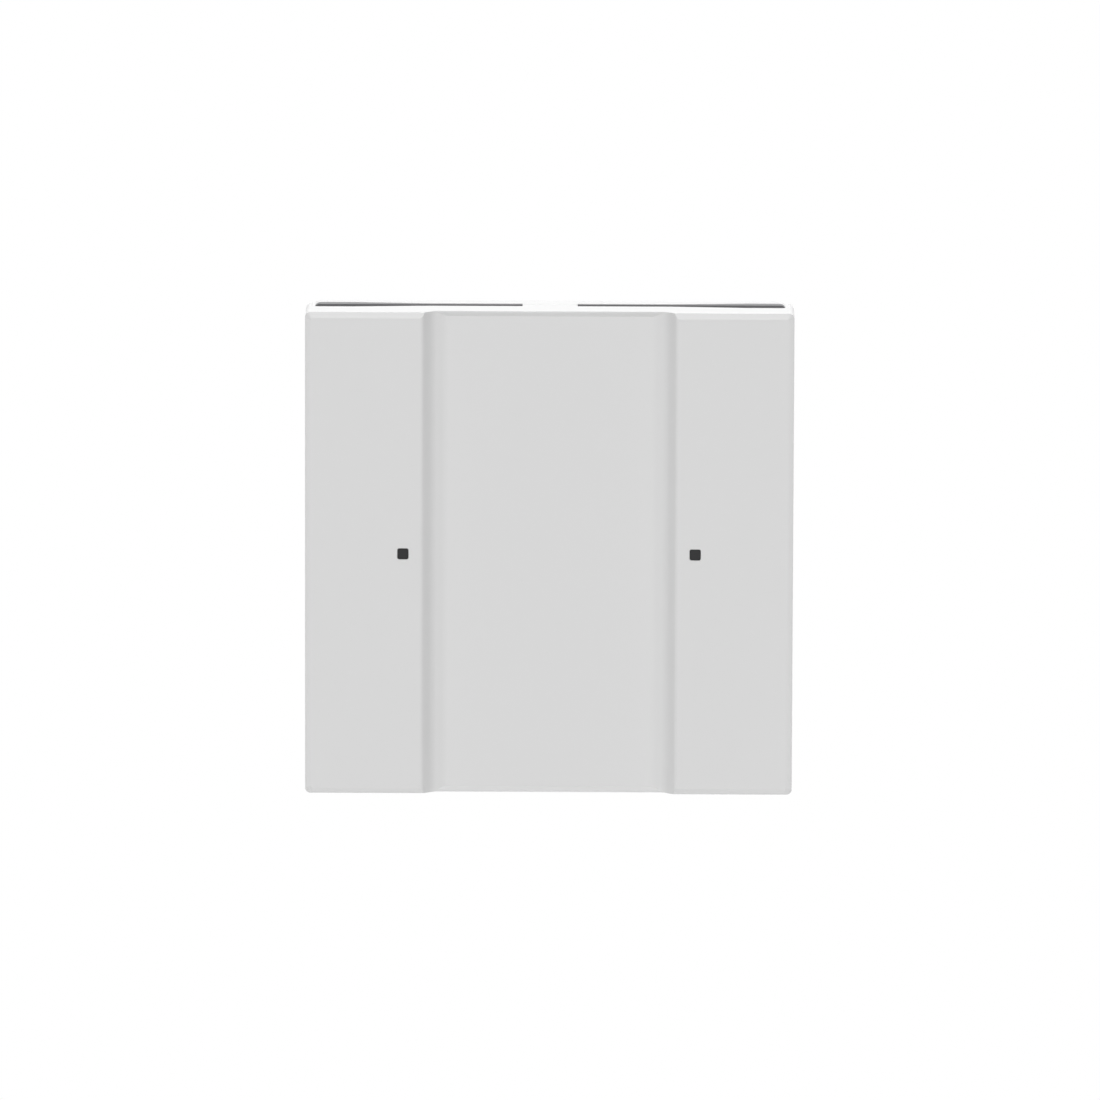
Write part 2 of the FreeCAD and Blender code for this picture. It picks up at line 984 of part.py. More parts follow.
def make_plunger(side):
    x = side * switch_x
    back = collar_back()
    shaft = rod(x, 0, plunger_diameter, -plunger_reach, back)
    collar = rod(x, 0, plunger_collar_diameter, back - plunger_collar_length, back)
    bore = rod(x, 0, stem_diameter + 2 * press_gap, back - plunger_bore_length, back + 1)
    return shaft.fuse(collar).cut(bore).removeSplitter()


# sleeve that takes the room of a coil spring between the plate and the carrier
def make_return_spring(x, z):
    outer = rod(x, z, spring_outer, -carrier_back_reach, -plate_reach)
    inner = rod(
        x, z, spring_outer - 2 * spring_wire, -carrier_back_reach - 1, -plate_reach + 1
    )
    return outer.cut(inner)


def make_stop_pads():
    pads = []
    for x, z in corners(stop_x, stop_z):
        pads.append(rod(x, z, stop_diameter, -plate_reach - stop_pad_length, -plate_reach))
    return Part.makeCompound(pads)


def make_led(side):
    x = side * window_x
    return block(
        x - led_width / 2,
        x + led_width / 2,
        board_depth - led_height,
        board_depth,
        -led_length / 2,
        led_length / 2,
    )


# short square tube that keeps a status light's glow in
def make_light_shield(side):
    x = side * window_x
    tube = rounded_slab(shield_size, shield_size, 0.4, -plate_back_reach, board_depth, x)
    return tube.cut(
        rounded_slab(light_opening, light_opening, 0.2, -beyond, beyond, x)
    )


def make_chip(place, size, height):
    x, z = place
    half = size / 2
    return block(x - half, x + half, board_back, board_back + height, z - half, z + half)


def make_capacitors():
    cans = []
    for index in range(capacitor_count):
        x = (index - (capacitor_count - 1) / 2) * capacitor_pitch
        cans.append(
            rod(x, capacitor_z, capacitor_diameter, board_back, board_back + capacitor_height)
        )
    return Part.makeCompound(cans)


# bent strip of spring steel: a leg on the tub's side, a tab in its slot and a barb that snaps out
def make_retaining_clip():
    wall = tub_half_w
    outer = wall + clip_metal
    peak = wall + clip_spread
    lean = clip_metal * 1.1
    clip = upright_prism(
        [
            (wall, clip_back_depth),
            (wall, clip_front_depth),
            (outer, clip_front_depth),
            (outer, clip_back_depth - 3 * clip_metal),
            (peak - lean, clip_peak_depth),
            (peak - 3 * lean, clip_free_depth),
            (peak - 2 * lean, clip_free_depth - clip_metal / 2),
            (peak, clip_peak_depth),
            (outer + clip_metal, clip_back_depth),
        ],
        -clip_half_width,
        clip_half_width,
    )
    tab = block(
        wall - tub_wall / 2,
        wall + clip_metal / 2,
        clip_tab_start,
        clip_tab_start + clip_tab_length,
        -clip_tab_half_width,
        clip_tab_half_width,
    )
    return clip.fuse(tab).removeSplitter()


def make_frame_screws():
    screws = []
    for x, z in corners(screw_x, screw_z):
        head_front = -screw_head_length - screw_recess
        head = rod(x, z, screw_head_diameter, head_front, -screw_recess)
        shank = rod(
            x, z, screw_diameter, -screw_boss_reach + 2 * screw_end_spare, head_front
        )
        drive = rod(x, z, screw_diameter * 0.6, -screw_recess - screw_head_length / 2, 0)
        screws.append(head.fuse(shank).cut(drive).removeSplitter())
    return Part.makeCompound(screws)


def save(name, shape):
    solids = shape.Solids
    for solid in solids:
        if not solid.isValid():
            print("not valid:", name)
    if len(solids) == 1:
        solids[0].exportStep("parts/" + name + ".step")
    else:
        Part.makeCompound(solids).exportStep("parts/" + name + ".step")
    print(name, len(solids), round(sum(solid.Volume for solid in solids), 2))


os.makedirs("parts", exist_ok=True)

save("rocker_cover", make_rocker_cover())
save("rocker_carrier", make_rocker_carrier())
save("base_frame", make_base_frame())
save("mechanism_plate", make_mechanism_plate())
save("rear_housing", make_rear_housing())
save("circuit_board", make_circuit_board())
save("connector_body", make_connector_body())
save("connector_pins", make_connector_pins())
save("controller_chip", make_chip(controller_place, controller_size, controller_height))
save("transceiver_chip", make_chip(transceiver_place, transceiver_size, transceiver_height))
save("capacitors", make_capacitors())
save("frame_screws", make_frame_screws())
save("stop_pads", make_stop_pads())
save("hinge_pin_upper", make_hinge_pin(1))
save("hinge_pin_lower", make_hinge_pin(-1))

for side_name, side in (("right", 1), ("left", -1)):
    save("light_guide_" + side_name, make_light_guide(side))
    save("plunger_" + side_name, make_plunger(side))
    save("switch_stem_" + side_name, make_switch_stem(side))
    save("switch_body_" + side_name, make_switch_body(side))
    save("switch_cover_" + side_name, make_switch_cover(side))
    save("led_" + side_name, make_led(side))
    save("light_shield_" + side_name, make_light_shield(side))
    save("return_spring_upper_" + side_name, make_return_spring(side * spring_x, spring_z))
    save("return_spring_lower_" + side_name, make_return_spring(side * spring_x, -spring_z))

save("retaining_clip_right", make_retaining_clip())
save("retaining_clip_left", mirrored(make_retaining_clip()))
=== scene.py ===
import json
from math import cos, pi, radians, sin

import bmesh
import bpy
from mathutils import Matrix, Vector


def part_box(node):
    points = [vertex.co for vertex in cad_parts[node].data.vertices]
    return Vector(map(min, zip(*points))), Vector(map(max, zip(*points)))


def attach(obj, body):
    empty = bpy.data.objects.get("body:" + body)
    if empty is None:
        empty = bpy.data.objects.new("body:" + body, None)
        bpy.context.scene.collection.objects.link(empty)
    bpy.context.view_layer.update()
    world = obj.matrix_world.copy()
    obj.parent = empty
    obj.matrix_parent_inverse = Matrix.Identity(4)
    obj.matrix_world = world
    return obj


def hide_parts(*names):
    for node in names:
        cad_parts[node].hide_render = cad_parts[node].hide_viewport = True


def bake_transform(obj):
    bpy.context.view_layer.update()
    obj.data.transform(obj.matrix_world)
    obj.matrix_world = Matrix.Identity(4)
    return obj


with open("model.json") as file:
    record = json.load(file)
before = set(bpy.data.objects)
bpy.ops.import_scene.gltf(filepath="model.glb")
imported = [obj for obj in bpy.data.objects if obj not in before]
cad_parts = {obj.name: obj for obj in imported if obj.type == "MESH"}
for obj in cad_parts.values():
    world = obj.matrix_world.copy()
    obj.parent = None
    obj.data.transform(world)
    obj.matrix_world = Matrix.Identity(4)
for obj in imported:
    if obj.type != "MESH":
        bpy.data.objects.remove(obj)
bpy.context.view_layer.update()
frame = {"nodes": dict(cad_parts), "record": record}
nodes = frame["nodes"]
mm = 0.001


# Node trees

class Value:  # a socket that can stand in a sum
    def __init__(self, tree, socket):
        self.tree = tree
        self.socket = socket

    def maths(self, operation, first, second=0.0):
        node = self.tree.nodes.new("ShaderNodeMath")
        node.operation = operation
        for place, item in enumerate((first, second)):
            if isinstance(item, Value):
                self.tree.links.new(item.socket, node.inputs[place])
            else:
                node.inputs[place].default_value = item
        return Value(self.tree, node.outputs[0])

    def __add__(self, other):
        return self.maths("ADD", self, other)

    def __sub__(self, other):
        return self.maths("SUBTRACT", self, other)

    def __rsub__(self, other):
        return self.maths("SUBTRACT", other, self)

    def __mul__(self, other):
        return self.maths("MULTIPLY", self, other)

    def __truediv__(self, other):
        return self.maths("DIVIDE", self, other)

    def __pow__(self, other):
        return self.maths("POWER", self, other)

    def __lt__(self, other):
        return self.maths("LESS_THAN", self, other)

    def __gt__(self, other):
        return self.maths("GREATER_THAN", self, other)

    def __abs__(self):
        return self.maths("ABSOLUTE", self)

    def part(self):  # what stands after the point
        return self.maths("FRACT", self)


class Sheet:  # a node tree being put together
    def __init__(self, tree):
        self.tree = tree

    def node(self, kind, settings=None, sockets=None, output=0):  # a list holds several links
        made = self.tree.nodes.new(kind)
        for key, item in (settings or {}).items():
            setattr(made, key, item)
        for key, item in (sockets or {}).items():
            for source in item if isinstance(item, list) else [item]:
                if isinstance(source, Value):
                    self.tree.links.new(source.socket, made.inputs[key])
                else:
                    made.inputs[key].default_value = source
        return Value(self.tree, made.outputs[output]) if made.outputs else made


def grey(level):
    return (level, level, level, 1.0)


class Finish(Sheet):  # a material
    def __init__(self, name):
        self.material = bpy.data.materials.new(name)
        self.material.use_nodes = True
        super().__init__(self.material.node_tree)
        self.tree.nodes.clear()

    def where(self, stretch=(1.0, 1.0, 1.0)):  # object coordinates keep a pattern on its piece
        place = self.node("ShaderNodeTexCoord", output="Object")
        return self.node("ShaderNodeMapping", {}, {"Vector": place, "Scale": stretch})

    def acrossAndUp(self):  # object coordinates X and Z
        place = self.node("ShaderNodeTexCoord", output="Object")
        split = self.node("ShaderNodeSeparateXYZ", {}, {0: place})
        outputs = split.socket.node.outputs
        return Value(self.tree, outputs["X"]), Value(self.tree, outputs["Z"])

    def noise(self, scale, detail=2.0, roughness=0.5, where=None):
        return self.node(
            "ShaderNodeTexNoise", {"noise_dimensions": "3D"},
            {"Vector": where or self.where(), "Scale": scale, "Detail": detail,
             "Roughness": roughness})

    def blend(self, factor, first, second):
        sockets = {0: factor}
        for place, colour in ((6, first), (7, second)):
            sockets[place] = colour if isinstance(colour, Value) else (*colour, 1.0)
        return self.node("ShaderNodeMix", {"data_type": "RGBA"}, sockets, 2)

    def bump(self, height, distance):
        return self.node(
            "ShaderNodeBump", {}, {"Height": height, "Distance": distance, "Strength": 1.0})

    def close(self, sockets):
        shader = self.node("ShaderNodeBsdfPrincipled", {}, sockets)
        self.node("ShaderNodeOutputMaterial", {}, {"Surface": shader})
        return self.material


class Shape(Sheet):  # a geometry node tree with named sizes
    kinds = {float: "NodeSocketFloat", int: "NodeSocketInt"}

    def __init__(self, name, sizes):
        super().__init__(bpy.data.node_groups.new(name, "GeometryNodeTree"))
        self.sizes = sizes
        self.sockets = {}
        for label, value in sizes.items():
            kind = self.kinds.get(type(value), "NodeSocketObject")
            self.sockets[label] = self.tree.interface.new_socket(
                label, in_out="INPUT", socket_type=kind)
        self.tree.interface.new_socket(
            "Geometry", in_out="OUTPUT", socket_type="NodeSocketGeometry")
        self.entry = self.tree.nodes.new("NodeGroupInput")

    def size(self, label):
        return Value(self.tree, self.entry.outputs[label])

    def seen(self, label):  # what an input object looks like
        return self.node("GeometryNodeObjectInfo", {}, {"Object": self.size(label)}, "Geometry")

    def close(self, geometry, material):
        real = self.node("GeometryNodeRealizeInstances", {}, {0: geometry})
        painted = self.node(
            "GeometryNodeSetMaterial", {}, {"Geometry": real, "Material": material})
        self.node("NodeGroupOutput", {}, {0: painted})

    def mesh(self, name):  # a plain mesh of what the tree makes
        holder = bpy.data.objects.new(name, bpy.data.meshes.new(name))
        bpy.context.scene.collection.objects.link(holder)
        modifier = holder.modifiers.new("nodes", "NODES")
        modifier.node_group = self.tree
        for label, value in self.sizes.items():
            modifier[self.sockets[label].identifier] = value
        return settled(holder)


def settled(holder):  # what an object with modifiers looks like, as a plain mesh
    bpy.context.view_layer.update()
    graph = bpy.context.evaluated_depsgraph_get()
    mesh = bpy.data.meshes.new_from_object(
        holder.evaluated_get(graph), preserve_all_data_layers=True, depsgraph=graph)
    bpy.data.objects.remove(holder)
    return mesh


# Finishes: colours are linear, lengths in metres, grain counted per metre

def toned(colour, share):
    return tuple(part * share for part in colour)


plasticLook = {  # what a plastic has where its own values don't say otherwise
    "cloud": 90.0, "cloudDetail": 3.0, "grainDetail": 2.0, "harshness": 0.6,
    "tone": 0.03, "change": 0.08, "specular": 0.5,
}


def mouldedPlastic(ownLook):
    look = {**plasticLook, **ownLook}
    made = Finish(look["name"])
    cloud = made.noise(look["cloud"], look["cloudDetail"])
    grain = made.noise(look["grain"], look["grainDetail"], look["harshness"])
    height = grain
    if "pinMarks" in look:  # round marks that the mould's ejector pins leave
        marks = look["pinMarks"]
        across, up = made.acrossAndUp()
        x = abs(abs(across) - marks["x"])
        z = abs(abs(up) - marks["z"])
        apart = (x * x + z * z) ** 0.5
        ridge = made.node("ShaderNodeMapRange", {"interpolation_type": "SMOOTHSTEP"}, {
            "Value": abs(apart - marks["radius"]), "From Min": 0.0, "From Max": marks["width"],
            "To Min": marks["height"] / look["depth"], "To Max": 0.0})
        height = grain + ridge
    darker = toned(look["colour"], 1 - look["tone"])
    lighter = toned(look["colour"], 1 + look["tone"])
    return made.close({
        "Base Color": made.blend(cloud, darker, lighter),
        "Roughness": grain * look["change"] + (look["roughness"] - look["change"] / 2),
        "Specular IOR Level": look["specular"],
        "Normal": made.bump(height, look["depth"]),
    })


workedLook = {  # what all metals share
    "streakDetail": 3.0, "harshness": 0.6, "dark": 0.86, "light": 1.05, "handling": 420.0,
    "streakChange": 0.2, "handledChange": 0.1,
}


def workedMetal(ownLook):
    look = {**workedLook, **ownLook}
    made = Finish(look["name"])
    along = made.where(look["stretch"])
    streaks = made.noise(look["grain"], look["streakDetail"], look["harshness"], along)
    handled = made.noise(look["handling"])
    change = streaks * look["streakChange"] + handled * look["handledChange"]
    middle = (look["streakChange"] + look["handledChange"]) / 2
    darker = toned(look["colour"], look["dark"])
    lighter = toned(look["colour"], look["light"])
    return made.close({
        "Base Color": made.blend(streaks, darker, lighter),
        "Metallic": 1.0,
        "Roughness": change + (look["roughness"] - middle),
        "Normal": made.bump(streaks, look["depth"]),
    })


def boardMask(look):  # solder mask over copper tracks, one in each cell of a grid
    made = Finish(look["name"])
    across, up = made.acrossAndUp()
    x = across / look["pitch"]
    z = up / look["pitch"]
    cellX = x - x.part()
    cellZ = z - z.part()
    cell = made.node("ShaderNodeCombineXYZ", {}, {0: cellX, 1: cellZ})
    toss = made.node("ShaderNodeTexWhiteNoise", {"noise_dimensions": "3D"}, {"Vector": cell})
    along = abs(x.part() - 0.5) < look["width"]
    level = abs(z.part() - 0.5) < look["width"]
    upright = toss > look["levelShare"]
    track = (upright * along + (1 - upright) * level) * (toss > look["bareShare"])
    weave = made.noise(look["weave"])
    darker = toned(look["colour"], 1 - look["tone"])
    lighter = toned(look["colour"], 1 + look["tone"])
    mask = made.blend(weave, darker, lighter)
    return made.close({
        "Base Color": made.blend(track, mask, look["trackColour"]),
        "Roughness": weave * look["change"] + look["roughness"],
        "Normal": made.bump(track + weave * look["relief"], look["depth"]),
    })


finishLook = {
    "white_gloss": {
        "name": "whiteCoverPlastic", "colour": (0.66, 0.66, 0.66), "roughness": 0.42,
        "grain": 5200.0, "depth": 2e-6, "tone": 0.004},
    "grey_plastic": {
        "name": "greyCarrierPlastic", "colour": (0.36, 0.37, 0.38), "roughness": 0.5,
        "grain": 3000.0, "depth": 6e-6},
    "dark_plastic": {
        "name": "darkPlatePlastic", "colour": (0.13, 0.13, 0.134), "roughness": 0.5,
        "grain": 3000.0, "depth": 6e-6},
    "light_grey_plastic": {
        "name": "tubPlastic", "colour": (0.52, 0.53, 0.53), "roughness": 0.5,
        "grain": 2600.0, "depth": 8e-6,
        "pinMarks": {
            "x": 0.0165, "z": 0.0075, "radius": 0.0015, "width": 0.00025, "height": 3e-5}},
    "black_plastic": {
        "name": "blackPlastic", "colour": (0.022, 0.022, 0.023), "roughness": 0.42,
        "grain": 2500.0, "depth": 6e-6},
    "natural_plastic": {
        "name": "naturalPlastic", "colour": (0.7, 0.69, 0.63), "roughness": 0.35,
        "grain": 2000.0, "depth": 4e-6},
    "smoked_guide": {
        "name": "smokedGuide", "colour": (0.012, 0.012, 0.013), "roughness": 0.14,
        "grain": 1500.0, "depth": 5e-7, "specular": 0.4},
    "led_lens": {
        "name": "lampLens", "colour": (0.82, 0.76, 0.5), "roughness": 0.2,
        "grain": 1500.0, "depth": 1e-6},
    "pad_rubber": {
        "name": "padRubber", "colour": (0.03, 0.03, 0.03), "roughness": 0.7,
        "grain": 2600.0, "depth": 1e-5},
}
metalLook = {
    "gold_pins": {
        "name": "platedPins", "colour": (0.83, 0.6, 0.26), "roughness": 0.25,
        "grain": 2500.0, "depth": 1e-6, "stretch": (1, 0.1, 1)},
    "capacitor_can": {
        "name": "capacitorCan", "colour": (0.75, 0.75, 0.76), "roughness": 0.3,
        "grain": 1500.0, "depth": 1e-6, "stretch": (1, 0.1, 1)},
    "screw_steel": {
        "name": "zincScrew", "colour": (0.62, 0.62, 0.63), "roughness": 0.36,
        "grain": 1800.0, "depth": 3e-6, "stretch": (1, 1, 1)},
    "pin_steel": {
        "name": "groundSteel", "colour": (0.62, 0.62, 0.63), "roughness": 0.28,
        "grain": 2500.0, "depth": 1e-6, "stretch": (1, 1, 0.1)},
    "spring_steel": {
        "name": "springSteel", "colour": (0.55, 0.55, 0.56), "roughness": 0.33,
        "grain": 2200.0, "depth": 2e-6, "stretch": (1, 1, 0.06)},
}
boardLook = {
    "name": "boardMask",
    "colour": (0.02, 0.13, 0.055), "trackColour": (0.05, 0.24, 0.1), "tone": 0.15,
    "pitch": 0.0016, "width": 0.13, "levelShare": 0.5, "bareShare": 0.12,
    "weave": 1800.0, "roughness": 0.24, "change": 0.12, "relief": 0.15, "depth": 2.5e-5,
}

finishes = {slot: mouldedPlastic(look) for slot, look in finishLook.items()}
for slot, look in metalLook.items():
    finishes[slot] = workedMetal(look)
finishes["board"] = boardMask(boardLook)
print("finishes made:", len(finishes))


# CAD nodes get the finish of their slot

slotOf = {entry["node"]: entry["material_slot"] for entry in frame["record"]["subparts"]}


def dress(thing, slot):
    thing.data.materials.clear()
    thing.data.materials.append(finishes[slot])


def addPiece(name, mesh, slot, body, *standsFor):
    thing = bpy.data.objects.new(name, mesh)
    bpy.context.scene.collection.objects.link(thing)
    dress(thing, slot)
    if body:
        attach(thing, body)
    if standsFor:
        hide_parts(*standsFor)
    return thing


for name, thing in nodes.items():
    dress(thing, slotOf[name])


# Moulded and cut pieces: a merged copy of the CAD mesh with its edges broken

edgeLook = {  # metres, degrees
    "weld": 1e-7, "flat": 0.4, "segments": 3, "flatWeight": 100,
}
edgeBreaks = {  # millimetres
    "rocker_cover": 0.06, "rocker_carrier": 0.08, "base_frame": 0.07, "rear_housing": 0.16,
    "mechanism_plate": 0.05, "controller_chip": 0.12, "transceiver_chip": 0.12,
    "switch_body_left": 0.1, "switch_body_right": 0.1, "led_left": 0.06, "led_right": 0.06,
    "retaining_clip_left": 0.05, "retaining_clip_right": 0.05,
}
crispEdge = {  # degrees twice, millimetres, how far up it faces, share of a facet's length
    "least": 12.0, "most": 25.0, "breadth": 0.4, "lift": 0.3, "end": 0.05,
}


def isCrisp(line):  # a bevel that faces up keeps a clear lower edge, a long facet its ends
    turn = line.calc_face_angle(0.0)
    if not radians(crispEdge["least"]) < turn < radians(crispEdge["most"]):
        return False
    lengths = [max(rim.calc_length() for rim in face.edges) for face in line.link_faces]
    breadths = [face.calc_area() / length for face, length in zip(line.link_faces, lengths)]
    lift = max(face.normal.z for face in line.link_faces)
    isBroad = min(breadths) > crispEdge["breadth"] * mm and lift > crispEdge["lift"]
    return isBroad or line.calc_length() < crispEdge["end"] * max(lengths)


def broken(name, width):
    mesh = nodes[name].data.copy()
    work = bmesh.new()
    work.from_mesh(mesh)
    bmesh.ops.remove_doubles(work, verts=work.verts, dist=edgeLook["weld"])
    bmesh.ops.dissolve_limit(
        work, angle_limit=radians(edgeLook["flat"]), verts=work.verts, edges=work.edges)
    work.normal_update()
    for line in work.edges:
        line.smooth = not isCrisp(line)
    work.to_mesh(mesh)
    work.free()
    mesh.shade_smooth()
    holder = bpy.data.objects.new(name + "Edges", mesh)
    bpy.context.scene.collection.objects.link(holder)
    edge = holder.modifiers.new("edge", "BEVEL")
    edge.width = width * mm
    edge.segments = edgeLook["segments"]
    edge.limit_method = "ANGLE"
    edge.angle_limit = radians(crispEdge["most"])
    flats = holder.modifiers.new("flats", "WEIGHTED_NORMAL")
    flats.keep_sharp = True
    flats.weight = edgeLook["flatWeight"]
    return settled(holder)


for name, width in edgeBreaks.items():
    body = "rocker" if name.startswith("rocker") else "base"
    addPiece(name + "_finished", broken(name, width), slotOf[name], body, name)
print("moulded pieces finished:", len(edgeBreaks))


# Shapes that several small pieces share. From here on, the pieces' own sizes are in millimetres

def turned(profile, steps):  # turned about the Y axis: pairs of radius and Y
    work = bmesh.new()
    rings = []
    for radius, y in profile:
        if radius:
            turns = [2 * pi * index / steps for index in range(steps)]
            rings.append([work.verts.new((radius * cos(t), y, radius * sin(t))) for t in turns])
        else:
            rings.append([work.verts.new((0, y, 0))])
    for first, last in zip(rings, rings[1:]):
        for index in range(steps):
            following = (index + 1) % steps
            loop = [
                first[index % len(first)], first[following % len(first)],
                last[following % len(last)], last[index % len(last)]]
            work.faces.new(list(dict.fromkeys(loop)))
    return work, rings


sharpFrom = 32  # degrees


def meshOf(work, name, smooth=True):
    bmesh.ops.recalc_face_normals(work, faces=work.faces)
    mesh = bpy.data.meshes.new(name)
    work.to_mesh(mesh)
    work.free()
    if smooth:
        mesh.shade_smooth()
        mesh.set_sharp_from_angle(angle=radians(sharpFrom))
    return mesh


def prism(outline, low, high, axis):  # a flat outline carried along one axis
    work = bmesh.new()

    def spot(pair, along):
        place = list(pair)
        place.insert(axis, along)
        return work.verts.new(place)

    near = [spot(pair, low) for pair in outline]
    far = [spot(pair, high) for pair in outline]
    work.faces.new(near)
    work.faces.new(reversed(far))
    for index in range(len(outline)):
        following = (index + 1) % len(outline)
        work.faces.new((near[index], far[index], far[following], near[following]))
    return work


def standIn(name, mesh):  # an object that a tree copies
    return bpy.data.objects.new(name, mesh)


def rowsOf(thing, columns, rows, stepX, stepZ, material):  # copies on a grid in X and Z
    tree = Shape("rows", {
        "Piece": thing, "Columns": columns, "Rows": rows,
        "Step X": stepX, "Step Z": stepZ})
    grid = tree.node("GeometryNodeMeshGrid", {}, {
        "Size X": tree.size("Step X") * (tree.size("Columns") - 1),
        "Size Y": tree.size("Step Z") * (tree.size("Rows") - 1),
        "Vertices X": tree.size("Columns"), "Vertices Y": tree.size("Rows")})
    upright = tree.node(
        "GeometryNodeTransform", {}, {"Geometry": grid, "Rotation": (pi / 2, 0, 0)})
    copies = tree.node(
        "GeometryNodeInstanceOnPoints", {}, {"Points": upright, "Instance": tree.seen("Piece")})
    tree.close(copies, material)
    return tree


def placed(mesh, x=0.0, y=0.0, z=0.0):
    mesh.transform(Matrix.Translation((x, y, z)))
    return mesh


def middleOf(name):
    low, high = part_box(name)
    return (Vector(low) + Vector(high)) / 2


# Return springs

springLook = {
    "turns": 3.5, "wire": 0.5, "outside": 4.0, "steps": 28, "sides": 10,
    "closing": 0.2,  # how much closer the end turns lie
}


def springMesh(look, length):
    wire = look["wire"] * mm
    tree = Shape("coilSpring", {
        "Turns": float(look["turns"]), "Coil radius": (look["outside"] * mm - wire) / 2,
        "Wire radius": wire / 2, "Length": length - wire, "Closing": look["closing"],
        "Steps": look["steps"], "Sides": look["sides"]})
    coil = tree.node("GeometryNodeCurveSpiral", {}, {
        "Resolution": tree.size("Steps"), "Rotations": tree.size("Turns"),
        "Start Radius": tree.size("Coil radius"), "End Radius": tree.size("Coil radius"),
        "Height": tree.size("Length")})
    along = tree.node("GeometryNodeSplineParameter")
    wave = tree.node("ShaderNodeMath", {"operation": "SINE"}, {0: along * (2 * pi)})
    lift = wave * tree.size("Closing") * tree.size("Length") / (-2 * pi)
    offset = tree.node("ShaderNodeCombineXYZ", {}, {2: lift})
    coil = tree.node("GeometryNodeSetPosition", {}, {"Geometry": coil, "Offset": offset})
    ring = tree.node("GeometryNodeCurvePrimitiveCircle", {}, {
        "Resolution": tree.size("Sides"), "Radius": tree.size("Wire radius")})
    wound = tree.node("GeometryNodeCurveToMesh", {}, {
        "Curve": coil, "Profile Curve": ring, "Fill Caps": True})
    smooth = tree.node("GeometryNodeSetShadeSmooth", {}, {"Geometry": wound})
    tree.close(smooth, finishes["spring_steel"])
    mesh = tree.mesh("coilSpring")
    mesh.transform(Matrix.Rotation(pi / 2, 4, "X"))
    return placed(mesh, y=-wire / 2)


for level in ("upper", "lower"):
    for side in ("left", "right"):
        name = "return_spring_" + level + "_" + side
        low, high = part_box(name)
        middle = middleOf(name)
        mesh = placed(springMesh(springLook, high[1] - low[1]), middle.x, high[1], middle.z)
        spring = addPiece(name + "_coil", mesh, "spring_steel", None, name)
        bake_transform(spring)
print("springs wound: 4")


# Frame screws

screwLook = {
    "head": 1.9, "headHeight": 1.1, "underCut": 0.05, "lowRim": 0.1, "rim": 0.25, "dome": 0.06,
    "shank": 1.0, "thread": 0.12, "threadStep": 0.4, "steps": 36,
    "arm": 1.15, "halfArm": 0.28, "recess": 0.75, "taper": 0.45,
}


def screwMesh(look, length):
    head, under, rim = look["head"], -look["headHeight"], look["rim"]
    step = look["threadStep"]
    root = look["shank"] - look["thread"]
    profile = [(0, -length)]
    y = -length
    while y < under - step:
        profile += [(root, y), (look["shank"], y + step / 2)]
        y += step
    profile += [
        (root, under), (head - look["underCut"], under), (head, under + look["lowRim"]),
        (head, -rim), (head - rim / 2, -look["dome"]), (head - rim, 0)]
    work, rings = turned([(radius * mm, y * mm) for radius, y in profile], look["steps"])
    arm, half, taper = look["arm"], look["halfArm"], look["taper"]
    cross = [
        (half, arm), (-half, arm), (-half, half), (-arm, half), (-arm, -half), (-half, -half),
        (-half, -arm), (half, -arm), (half, -half), (arm, -half), (arm, half), (half, half)]
    top = [work.verts.new((x * mm, 0, z * mm)) for x, z in cross]
    low = [
        work.verts.new((x * mm * taper, -look["recess"] * mm, z * mm * taper))
        for x, z in cross]
    edges = []
    for index in range(len(cross)):
        following = (index + 1) % len(cross)
        work.faces.new((top[index], top[following], low[following], low[index]))
        edges.append(work.edges.get((top[index], top[following])))
    work.faces.new(low)
    outer = rings[-1]
    edges += [work.edges.get((outer[index - 1], outer[index])) for index in range(len(outer))]
    bmesh.ops.triangle_fill(work, use_beauty=True, edges=edges, normal=(0, 1, 0))
    return meshOf(work, "screw")


low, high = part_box("frame_screws")
spreadX = high[0] - low[0] - 2 * screwLook["head"] * mm
spreadZ = high[2] - low[2] - 2 * screwLook["head"] * mm
screw = standIn("screw", screwMesh(screwLook, (high[1] - low[1]) / mm))
screws = rowsOf(screw, 2, 2, spreadX, spreadZ, finishes["screw_steel"]).mesh("screws")
addPiece("frame_screws_cut", placed(screws, y=high[1]), "screw_steel", "base", "frame_screws")
print("screws placed: 4")


# Plug block with notches between its pins

plugLook = {
    "columns": 5, "rows": 2, "pitch": 2.54, "notch": 0.3, "edge": 0.08, "edgeSegments": 2,
}


def plugOutline(look, low, high):
    pitch = look["pitch"] * mm
    notch = look["notch"] * mm
    points = []
    for side in (1, -1):
        z = high[2] if side > 0 else low[2]
        points.append((-side * high[0], z))
        for gap in range(1, look["columns"]):
            x = side * (gap - look["columns"] / 2) * pitch
            points += [(x - side * notch, z), (x, z - side * notch), (x + side * notch, z)]
        points.append((side * high[0], z))
    return points


low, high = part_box("connector_body")
outline = plugOutline(plugLook, low, high)
plug = bpy.data.objects.new("plug", meshOf(prism(outline, low[1], high[1], 1), "plug", False))
bpy.context.scene.collection.objects.link(plug)
edge = plug.modifiers.new("edge", "BEVEL")
edge.width = plugLook["edge"] * mm
edge.segments = plugLook["edgeSegments"]
addPiece("connector_body_notched", settled(plug), "black_plastic", "base", "connector_body")


# Solder joints where the plug's pins come through the board

solderLook = {
    "radius": 0.85, "height": 0.55, "neck": 0.42, "steps": 20,
    "flank": ((0.82, 0.18), (0.64, 0.45)),  # shares of radius and height
    "collar": (1.05, 0.8),  # shares of neck and height
}


def solderMesh(look):
    radius, neck, height = look["radius"] * mm, look["neck"] * mm, look["height"] * mm
    profile = [(0, 0), (radius, 0)]
    profile += [(radius * wide, -height * high) for wide, high in look["flank"]]
    wide, high = look["collar"]
    profile += [(neck * wide, -height * high), (neck, -height), (0, -height)]
    return meshOf(turned(profile, look["steps"])[0], "solder")


